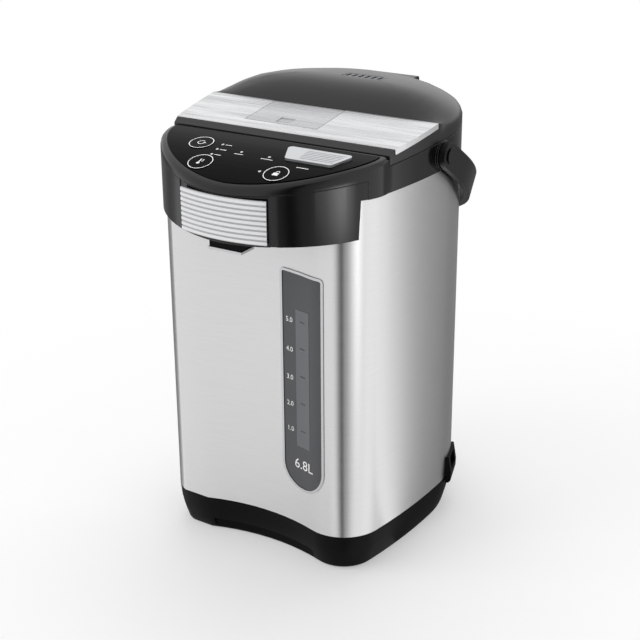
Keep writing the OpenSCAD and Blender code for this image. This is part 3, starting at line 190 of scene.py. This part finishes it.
shell_steel = brushed("brushed_stainless_wrap", "#D8D8D8", 0.3, 1500, 45, 0.00002, 0.06, anisotropy=0.9)
finish_with(shell_steel, "outer_shell")
pot_steel = brushed("spun_stainless_pot", "#CFCFCE", 0.22, 900, 30, 0.00002)
finish_with(pot_steel, "inner_pot", "inner_lid")
print("steel:", shell_steel.name, pot_steel.name)

# %% [markdown]
# The hood and the collar are moulded in glossy black ABS, and the lid, the mouth ring and the handle in a
# satin one. Moulded plastic is never quite even: there is a faint waviness, some centimetres across, and a
# slight change in gloss. A plain black plastic would be one noise and one colour. The base and the tray have
# a fine spark-eroded texture instead, which breaks the reflection up, so they look darker and softer. The
# round keys are covered with the same printed film as the panel, so the two share one material.

# %% Moulded plastics
def moulded(name, colour, roughness, grain_mm, depth_mm, gloss=0.5, tone=0.12, edge=0.0004):
    mat, tree, shader = material(name, Roughness=roughness, IOR=1.49, Specular_IOR_Level=gloss)
    place = add(tree, "ShaderNodeTexCoord")
    grain = add(tree, "ShaderNodeTexNoise", {"Vector": place.outputs["Object"], "Scale": 1000 / grain_mm,
                                             "Detail": 2.0})
    tree.links.new(two_tone(tree, grain.outputs["Fac"], colour, tone), shader.inputs["Base Color"])
    rough = add(tree, "ShaderNodeMapRange", {"Value": grain.outputs["Fac"], "To Min": roughness * 0.85,
                                             "To Max": roughness * 1.15})
    tree.links.new(rough.outputs[0], shader.inputs["Roughness"])
    surface_grain(tree, shader, grain.outputs["Fac"], 0.3, depth_mm / 1000, edge)
    return mat


gloss_abs = moulded("gloss_black_abs", "#060607", 0.15, 40, 0.05, gloss=0.45, edge=0.0008)
finish_with(gloss_abs, "hood", "collar")
lid_abs = moulded("satin_black_lid_abs", "#0A0A0B", 0.3, 1.1, 0.006, gloss=0.6, edge=0.0008)
finish_with(lid_abs, "lid_shell", "lid_hinge")
satin_abs = moulded("satin_black_abs", "#0B0B0C", 0.3, 1.2, 0.008, gloss=0.4, edge=0.0006)
finish_with(satin_abs, "mouth_ring", "handle_bail", "handle_pins")
textured_pp = moulded("textured_black_polypropylene", "#060607", 0.45, 0.9, 0.02, gloss=0.08, edge=0.0006)
finish_with(textured_pp, "base_housing", "bottom_cover", "power_inlet", "latch_tray", "spout")
vent_abs = moulded("grey_vent_abs", "#5C5E62", 0.4, 0.9, 0.01, gloss=0.5)
finish_with(vent_abs, "steam_vent")
panel_film = moulded("printed_polyester_film", "#040405", 0.18, 60, 0.02, gloss=0.03)
finish_with(panel_film, "panel_overlay", "reboil_key", "temperature_key", "unlock_key")
natural_pp = moulded("natural_polypropylene", "#DAD7CD", 0.4, 2, 0.01, tone=0.04)
finish_with(natural_pp, "lid_liner", "pump_body", "pump_impeller", "riser_clips")
print("plastics:", gloss_abs.name, lid_abs.name, satin_abs.name, textured_pp.name, panel_film.name)

# %% [markdown]
# The ribbed lid plate, the release flap and the front plate are ABS with a metallic silver lacquer:
# aluminium flakes in a clear coat. Each flake is a small cell with a tone of its own, which a Voronoi
# texture gives. It reads as a pale metal that never shows a sharp reflection. The grooves between the
# ribs get painted shade, a darker tone that stands in for the shade that falls in them: the distance to
# the nearest groove is the fraction of a rib's pitch, folded about its middle. On the lid the painted
# shade stays on faces that look up, so the plate's cut ends stay plain, and there it is darkened further
# in long streaks along the ribs.

# %% Silver lacquer
# painted shade: a darker tone in the grooves between the ribs, standing in for the shade that falls in them
def painted_groove_shade(tree, place, axis, first, pitch, depth):
    split = add(tree, "ShaderNodeSeparateXYZ", {0: place.outputs["Object"]})
    run = add(tree, "ShaderNodeMath", {0: split.outputs[axis], 1: first}, operation="SUBTRACT")
    fold = add(tree, "ShaderNodeMath", {0: run.outputs[0], 1: pitch / 2}, operation="PINGPONG")
    dark = add(tree, "ShaderNodeMapRange", {"Value": fold.outputs[0], "From Min": pitch * 0.1,
                                            "From Max": pitch * 0.3, "To Min": 1 - depth, "To Max": 1.0})
    return dark.outputs[0]


def silver_lacquer(name, colour, roughness, shine, shaded_grooves=None, streaks=0):
    mat, tree, shader = material(name, Metallic=shine, Roughness=roughness)
    place = add(tree, "ShaderNodeTexCoord")
    flakes = add(tree, "ShaderNodeTexVoronoi", {"Vector": place.outputs["Object"], "Scale": 2500.0})
    tone = two_tone(tree, flakes.outputs["Distance"], colour, 0.08)
    if shaded_grooves:
        # painted shade in the grooves, darkened further in long streaks and kept to faces that look up
        dark = painted_groove_shade(tree, place, *shaded_grooves)
        if streaks:
            face = add(tree, "ShaderNodeNewGeometry")
            look = add(tree, "ShaderNodeSeparateXYZ", {0: face.outputs["Normal"]})
            top = add(tree, "ShaderNodeMapRange", {"Value": look.outputs["Z"], "From Min": 0.3,
                                                   "From Max": 0.6})
            long = add(tree, "ShaderNodeMapping", {"Vector": place.outputs["Object"]})
            long.inputs["Scale"].default_value = (7, 150, 1)
            band = add(tree, "ShaderNodeTexNoise", {"Vector": long.outputs[0], "Scale": 1.0, "Detail": 3.0,
                                                    "Roughness": 0.7})
            pale = add(tree, "ShaderNodeMapRange", {"Value": band.outputs["Fac"], "From Min": 0.36,
                                                    "From Max": 0.62, "To Min": 1 - streaks, "To Max": 1.0})
            down = add(tree, "ShaderNodeMath", {0: dark, 1: pale.outputs[0]}, operation="MULTIPLY")
            kept = add(tree, "ShaderNodeMix", {2: 1.0, 3: down.outputs[0]})
            tree.links.new(top.outputs[0], kept.inputs[0])
            dark = kept.outputs[0]
        both = add(tree, "ShaderNodeMix", {"Factor": 1.0}, data_type="RGBA", blend_type="MULTIPLY")
        tree.links.new(tone, both.inputs[6])
        tree.links.new(dark, both.inputs[7])
        tone = both.outputs[2]
    tree.links.new(tone, shader.inputs["Base Color"])
    surface_grain(tree, shader, flakes.outputs["Distance"], 0.15, 0.00001, 0.0002)
    return mat


front_ribs = 9
lid_rib_pitch, flap_rib_pitch = 0.003078, 0.003016
front_low, front_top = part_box("front_plate")[0].z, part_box("front_plate")[1].z
front_pitch = (front_top - front_low) / front_ribs
# axis, first groove, pitch and depth of the painted shade in the grooves
front_painted_shade = (2, front_low, front_pitch, 0.35)
lid_painted_shade = (1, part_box("lid_plate")[0].y, lid_rib_pitch, 0.3)
flap_painted_shade = (1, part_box("latch_flap")[0].y, flap_rib_pitch, 0.35)
plate_lacquer = silver_lacquer("silver_lacquered_abs", "#E2E3E4", 0.32, 0.9, front_painted_shade)
finish_with(plate_lacquer, "front_plate")
lid_lacquer = silver_lacquer("silver_lacquered_lid_abs", "#F1F2F3", 0.28, 0.92, lid_painted_shade, streaks=0.4)
finish_with(lid_lacquer, "lid_plate")
flap_lacquer = silver_lacquer("silver_lacquered_flap_abs", "#DCDDDF", 0.3, 0.92, flap_painted_shade, streaks=0.3)
finish_with(flap_lacquer, "latch_flap")
key_lacquer = silver_lacquer("silver_lacquered_key", "#D2D4D6", 0.36, 0.88)
finish_with(key_lacquer, "dispense_key")
print("ribs:", round(front_pitch * 1000, 2), "mm apart on the front plate,", round(lid_rib_pitch * 1000, 2),
      "mm on the lid")

# %% [markdown]
# The small metal parts each have a finish that fits how they are made: chrome plate on the trim, drawn
# wire for pins and springs, a cast heater, and nickel on the brass contacts. They reuse the brushed
# finish with other numbers, because drawing and turning leave fine lines just as brushing does.

# %% Bright trim, fixings, rubber and boards
chrome = brushed("chromed_abs", "#C4C5C7", 0.14, 200, 200, 0.000003, 0.02)
finish_with(chrome, "gauge_frame", "spout_rim")
steel_wire = brushed("drawn_steel_wire", "#B9BCBF", 0.25, 400, 60, 0.00002)
finish_with(steel_wire, "cover_screws", "hinge_pin", "lid_screws", "flap_pin", "latch_bolt", "latch_spring",
            "thermostats", "pump_motor")
cast_alloy = brushed("cast_aluminium_heater", "#A8A5A0", 0.45, 200, 200, 0.0001)
finish_with(cast_alloy, "heater")
brass = brushed("nickel_plated_brass", "#C9B88A", 0.25, 300, 60, 0.00002)
finish_with(brass, "inlet_pins")
foot_rubber = moulded("black_nitrile_rubber", "#161616", 0.7, 1.5, 0.03, gloss=0.3)
finish_with(foot_rubber, "rubber_feet")
silicone = moulded("milky_silicone", "#D9D6CC", 0.5, 6, 0.02, tone=0.05)
finish_with(silicone, "suction_hose", "pump_elbow", "outlet_hose", "lid_gasket", "steam_duct")
board = moulded("green_solder_mask", "#1E6B45", 0.35, 3, 0.02)
finish_with(board, "control_board", "power_board")
lamp_lens = moulded("clear_lamp_lens", "#C9CED2", 0.2, 2, 0.005, tone=0.05)
finish_with(lamp_lens, "indicator_lenses")
print("fixings and boards finished")

# %% [markdown]
# The gauge is a panel of smoked acrylic with a paler strip in it, and the glass riser tube stands behind
# the strip. Smoked acrylic is tinted right through, so a dark colour under a clear gloss comes close
# enough.

# %% Gauge
smoked = moulded("smoked_acrylic", "#36383B", 0.14, 70, 0.03, gloss=0.7, tone=0.06)
finish_with(smoked, "gauge_panel")
strip_acrylic = moulded("clear_acrylic_strip", "#606266", 0.22, 50, 0.02, gloss=0.5, tone=0.05)
finish_with(strip_acrylic, "gauge_lens")
glass, tree, shader = material("borosilicate_glass", Roughness=0.02, IOR=1.47, Transmission_Weight=1.0)
shader.inputs["Base Color"].default_value = linear("#EDF4F4")
ripple = add(tree, "ShaderNodeTexNoise", {"Scale": 90.0})
surface_grain(tree, shader, ripple.outputs["Fac"], 0.05, 0.00002, 0.0003)
finish_with(glass, "riser_tube")
print("gauge:", smoked.name, strip_acrylic.name, glass.name)

# %% [markdown]
# The marks on the gauge are screen printed in white ink, a few hundredths of a millimetre thick. Each is
# drawn flat, as seen from the front, and then laid on the gauge: a ray is shot at the panel for every
# corner of the mark, and the corner goes where the ray lands, less the thickness of the ink. The numbers
# are plain text objects turned into meshes.

# %% Printed marks on the gauge
from mathutils.bvhtree import BVHTree

ink_thickness = 0.00006


def rides(name, mesh, mat, body):
    piece = bpy.data.objects.new(name, mesh)
    bpy.context.scene.collection.objects.link(piece)
    mesh.materials.clear()
    mesh.materials.append(mat)
    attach(piece, body)
    return piece


def flat_text(word, height):
    curve = bpy.data.curves.new("word", "FONT")
    curve.body, curve.size, curve.align_x, curve.align_y = word, height / 0.7, "CENTER", "CENTER"
    curve.resolution_u = 6
    source = bpy.data.objects.new("word", curve)
    bpy.context.scene.collection.objects.link(source)
    bpy.context.view_layer.update()
    mesh = bpy.data.meshes.new_from_object(source)
    bpy.data.objects.remove(source)
    return mesh


def landing(*names):
    points, faces = [], []
    for name in names:
        mesh = nodes[name].data
        faces += [[len(points) + v for v in face.vertices] for face in mesh.polygons]
        points += [v.co.copy() for v in mesh.vertices]
    return BVHTree.FromPolygons(points, faces)


gauge_face = landing("gauge_panel", "gauge_lens")


def on_gauge(mesh, x, z):
    for v in mesh.vertices:
        across, up = x + v.co.x, z + v.co.y
        spot = gauge_face.ray_cast(Vector((across, -1, up)), Vector((0, 1, 0)))[0]
        v.co = (across, spot.y - ink_thickness, up)
    return mesh


def flat_bars(boxes):
    mesh = bpy.data.meshes.new("bars")
    bm = bmesh.new()
    for x0, x1, y0, y1 in boxes:
        steps = 4
        low = [bm.verts.new((x0 + (x1 - x0) * i / steps, y0, 0)) for i in range(steps + 1)]
        top = [bm.verts.new((x0 + (x1 - x0) * i / steps, y1, 0)) for i in range(steps + 1)]
        for i in range(steps):
            bm.faces.new((low[i], low[i + 1], top[i + 1], top[i]))
    bm.to_mesh(mesh)
    bm.free()
    return mesh


ink = moulded("white_screen_ink", "#F4F4F4", 0.45, 0.8, 0.004, gloss=0.3, tone=0.03)
tick_ink = moulded("black_screen_ink", "#141416", 0.45, 0.8, 0.004, gloss=0.3, tone=0.04)
litre_marks = {1: (0.1254, 0.1240), 2: (0.1509, 0.1474), 3: (0.1755, 0.1714), 4: (0.2004, 0.1967),
               5: (0.2240, 0.2229)}
for litre, (_, number_z) in litre_marks.items():
    number = on_gauge(flat_text(f"{litre}.0", 0.0042), 0.0306, number_z)
    rides(f"gauge_number_{litre}", number, ink, "pot")
tick_boxes = [(-0.0028, 0.0028, z - 0.0004, z + 0.0004) for z, _ in litre_marks.values()]
ticks = on_gauge(flat_bars(tick_boxes), 0.0451, 0)
rides("gauge_ticks", ticks, tick_ink, "pot")
capacity = on_gauge(flat_text("6.8L", 0.0088), 0.0453, 0.0932)
rides("gauge_capacity", capacity, ink, "pot")
print("gauge marks at", [z for z, _ in litre_marks.values()])

# %% [markdown]
# Each round key on the panel has a fine white ring printed round it, and a small sign that says what it
# does: an arrow that turns, a thermometer and an open padlock. A sign is built from the same two shapes
# as the ring, an arc of a given width and a bar. The panel curves down towards the front, so its height
# is worked out from the curve, and each mark leans with it.

# %% Printed marks on the keys
pot_shift = 0.020968                    # the pot's axis stands this far behind the origin
panel_z, panel_y = 0.3615, -0.0936      # where the panel starts to curve down, from the pot's axis
panel_slope, panel_curve = 0.0804, 0.00212


def panel_height(y):
    beyond = min((y - panel_y) * 1000, 0)
    return panel_z + panel_slope * (y - panel_y) - panel_curve * beyond * beyond / 1000


def panel_lean(y):
    return math.atan(panel_slope - 2 * panel_curve * min((y - panel_y) * 1000, 0))


def arc_band(bm, centre, inner, outer, start, end, steps=40):
    rows = []
    for i in range(steps + 1):
        a = math.radians(start + (end - start) * i / steps)
        rows.append([bm.verts.new((centre[0] + r * math.cos(a), centre[1] + r * math.sin(a), 0))
                     for r in (inner, outer)])
    for (a, b), (c, d) in zip(rows, rows[1:]):
        bm.faces.new((a, b, d, c))


def flat_shape(bm, points):
    bm.faces.new([bm.verts.new((x, y, 0)) for x, y in points])


def bar_shape(bm, x0, x1, y0, y1):
    flat_shape(bm, [(x0, y0), (x1, y0), (x1, y1), (x0, y1)])


def sign_mesh(draw):
    bm = bmesh.new()
    draw(bm)
    mesh = bpy.data.meshes.new("sign")
    bm.to_mesh(mesh)
    bm.free()
    return mesh


def on_panel(mesh, at, raise_by):
    y = at[1]
    mesh.transform(Matrix.Translation((at[0], y + pot_shift, panel_height(y)))
                   @ Matrix.Rotation(panel_lean(y), 4, "X") @ Matrix.Translation((0, 0, raise_by)))
    return mesh


def printed_ring(bm):
    arc_band(bm, (0, 0), 0.0097, 0.01038, 0, 360, 72)


def turning_arrow(bm):
    printed_ring(bm)
    arc_band(bm, (0, 0), 0.0026, 0.0033, 60, 360)
    flat_shape(bm, [(0.0016, -0.0002), (0.0043, -0.0002), (0.0030, 0.0018)])


def thermometer(bm):
    printed_ring(bm)
    arc_band(bm, (-0.001, -0.0023), 0.0001, 0.0014, 0, 360)
    bar_shape(bm, -0.0015, -0.0005, -0.002, 0.0036)
    for y in (0.0003, 0.0016, 0.0029):
        bar_shape(bm, 0.0003, 0.0021, y, y + 0.0005)


def open_padlock(bm):
    printed_ring(bm)
    bar_shape(bm, -0.0024, 0.0024, -0.0028, 0.0008)
    arc_band(bm, (0.0007, 0.0018), 0.0011, 0.0017, 0, 180)
    bar_shape(bm, -0.0010, -0.0004, 0.0008, 0.0018)


key_signs = {"reboil": ((-0.053, -0.1169), turning_arrow), "temperature": ((-0.0345, -0.1443), thermometer),
             "unlock": ((0.036, -0.1433), open_padlock)}
for key, (at, draw) in key_signs.items():
    rides(f"{key}_sign", on_panel(sign_mesh(draw), at, 0.00048), ink, key)
print("signs on", ", ".join(key_signs))

# %% [markdown]
# The lamps show through small clear lenses. Beside each one a short printed bar stands where a word would
# be, so the panel stays free of lettering. The bars are on the film, which doesn't move.

# %% Printed marks beside the lamps
lamp_bars = [((-0.0339, -0.1142), 0.0028, 0.0088, 0), ((-0.0334, -0.1228), 0.0028, 0.0088, 0),
             ((-0.0327, -0.1314), 0.0028, 0.0088, 0), ((-0.0108, -0.1213), -0.004, 0.004, -0.0042),
             ((0.0161, -0.122), -0.0055, 0.0055, -0.0042), ((0.0515, -0.1302), -0.0055, 0.0055, 0)]
for i, (at, x0, x1, drop) in enumerate(lamp_bars):
    bar = sign_mesh(lambda bm: bar_shape(bm, x0, x1, drop - 0.0004, drop + 0.0004))
    rides(f"lamp_mark_{i + 1}", on_panel(bar, at, 0.00012), ink, "pot")
print(len(lamp_bars), "lamp marks")

# %% [markdown]
# The studio is a white floor under a white sky. What a camera ray or a reflection meets is plain white,
# and the light that falls on the pot is a little dimmer, so that pale parts keep their tone. A floor far
# away would turn grey, so beyond half a metre or so the floor fades into the same white, and close to the
# pot it keeps its shadow.

# %% Floor and sky
def camera_or_glossy(tree):
    paths = add(tree, "ShaderNodeLightPath")
    seen = add(tree, "ShaderNodeMath", {0: paths.outputs["Is Camera Ray"], 1: paths.outputs["Is Glossy Ray"]},
               operation="MAXIMUM")
    return paths, seen


floor_mesh = bpy.data.meshes.new("studio_floor")
bm = bmesh.new()
bmesh.ops.create_grid(bm, x_segments=1, y_segments=1, size=6)
bm.to_mesh(floor_mesh)
bm.free()
floor = bpy.data.objects.new("studio_floor", floor_mesh)
bpy.context.scene.collection.objects.link(floor)
paper, tree, shader = material("white_paper", Roughness=0.9, Specular_IOR_Level=0.2)
shader.inputs["Base Color"].default_value = linear("#F4F4F4")
place = add(tree, "ShaderNodeTexCoord")
away = add(tree, "ShaderNodeVectorMath", {0: place.outputs["Object"]}, operation="LENGTH")
fade = add(tree, "ShaderNodeMapRange", {"Value": away.outputs["Value"], "From Min": 0.15, "From Max": 0.6,
                                        "To Min": 0.4, "To Max": 1.0})
paths, seen = camera_or_glossy(tree)
mixing = add(tree, "ShaderNodeMath", {0: seen.outputs[0], 1: fade.outputs[0]}, operation="MULTIPLY")
plain_white = add(tree, "ShaderNodeEmission", {"Color": (1, 1, 1, 1), "Strength": 1.0})
blend = add(tree, "ShaderNodeMixShader", {0: mixing.outputs[0], 1: shader.outputs[0],
                                          2: plain_white.outputs[0]})
tree.links.new(blend.outputs[0], tree.nodes["Material Output"].inputs["Surface"])
floor_mesh.materials.append(paper)

world = bpy.data.worlds.new("studio")
bpy.context.scene.world = world
world.use_nodes = True
sky = world.node_tree
paths, seen = camera_or_glossy(sky)
through = add(sky, "ShaderNodeMath", {0: seen.outputs[0], 1: paths.outputs["Is Transmission Ray"]},
              operation="MAXIMUM")
level = add(sky, "ShaderNodeMapRange", {"Value": through.outputs[0], "To Min": 0.62, "To Max": 1.0})
sky.nodes["Background"].inputs["Color"].default_value = (1, 1, 1, 1)
sky.links.new(level.outputs[0], sky.nodes["Background"].inputs["Strength"])
print("floor and sky ready")

# %% [markdown]
# Polished things show what stands round them, or they look like paper. Photographers stand white and black
# cards just outside the picture for that. Each card here is a fan that starts at the pot and runs out over
# the floor and a little way up, and its shade changes from ray to ray of the fan. The narrow one is brighter
# than white, like the strip of a soft box, and draws the bright band down the steel. Only reflections see the
# cards: they throw no shadow and no light.

# %% Cards for the reflections
def card(name, apex, shades, start=0.01, reach=1.7, height=2.2, level=0.003):
    mesh = bpy.data.meshes.new(name)
    bm = bmesh.new()
    shade = bm.loops.layers.float_color.new("shade")
    rows = []
    for angle, value in shades:
        way = Vector((math.cos(math.radians(angle)), math.sin(math.radians(angle))))
        near, far = Vector(apex) + start * way, Vector(apex) + reach * way
        corners = [(*near, level), (*far, level), (*far, height)]
        rows.append(([bm.verts.new(place) for place in corners], value))
    for (one, a), (two, b) in zip(rows, rows[1:]):
        for k in (0, 1):
            face = bm.faces.new((one[k], one[k + 1], two[k + 1], two[k]))
            for loop, value in zip(face.loops, (a, a, b, b)):
                loop[shade] = (value, value, value, 1)
    bm.to_mesh(mesh)
    bm.free()
    piece = bpy.data.objects.new(name, mesh)
    bpy.context.scene.collection.objects.link(piece)
    cloth, tree, shader = material(name + "_cloth")
    painted = add(tree, "ShaderNodeVertexColor", layer_name="shade")
    glow = add(tree, "ShaderNodeEmission", {"Color": painted.outputs[0], "Strength": 1.0})
    tree.links.new(glow.outputs[0], tree.nodes["Material Output"].inputs["Surface"])
    mesh.materials.append(cloth)
    piece.visible_camera = piece.visible_diffuse = piece.visible_shadow = False
    piece.visible_transmission = piece.visible_volume_scatter = False
    return piece


front_right, right_side, left_side = (0.085, -0.102), (0.106, -0.047), (-0.085, -0.101)
card("card_in_front", front_right,
     [(-98, 1.05), (-86, 0.9), (-78, 0.4), (-70, 0.03), (-65, 0.1), (-60, 0.4), (-50, 0.55), (-42, 0.8),
      (-32, 1.0), (0, 1.15), (30, 1.2)])
card("card_behind_right", right_side,
     [(28, 1.2), (41, 1.2), (46, 0.72), (51, 0.45), (60, 0.29), (70, 0.22), (130, 0.22)],
     height=0.3, level=0.0034)
card("card_behind_left", left_side,
     [(204, 1.05), (184, 1.0), (176, 0.4), (168, 0.22), (128, 0.22)], height=0.3, level=0.0026)
card("strip_light", front_right,
     [(-50, 0.6), (-42, 1.5), (-33, 3.6), (-25, 5.5), (-17, 3.2), (-9, 1.2)], start=0.9, reach=1.35,
     height=0.02, level=0.006)
print("cards placed")

# %% [markdown]
# Two soft lamps light the pot: a large one from the front left and one overhead. Mirror images of them
# would show as hard patches on the lid, so reflections don't see the lamps, only the cards and the sky.

# %% Lamps
def soft_lamp(name, place, target, width, height, watts):
    data = bpy.data.lights.new(name, "AREA")
    data.shape = "RECTANGLE"
    data.size, data.size_y, data.energy = width, height, watts
    lamp = bpy.data.objects.new(name, data)
    bpy.context.scene.collection.objects.link(lamp)
    lamp.location = place
    lamp.rotation_euler = (Vector(target) - Vector(place)).to_track_quat("-Z", "Y").to_euler()
    lamp.visible_glossy = False
    return lamp


soft_lamp("key_lamp", (-1.2, -1.4, 1.3), (0, 0, 0.2), 1.2, 1.2, 12)
soft_lamp("top_lamp", (-0.2, 0.6, 1.7), (0, 0, 0.3), 1.2, 0.9, 12)
bpy.context.scene.view_settings.view_transform = "Standard"
print("studio ready")
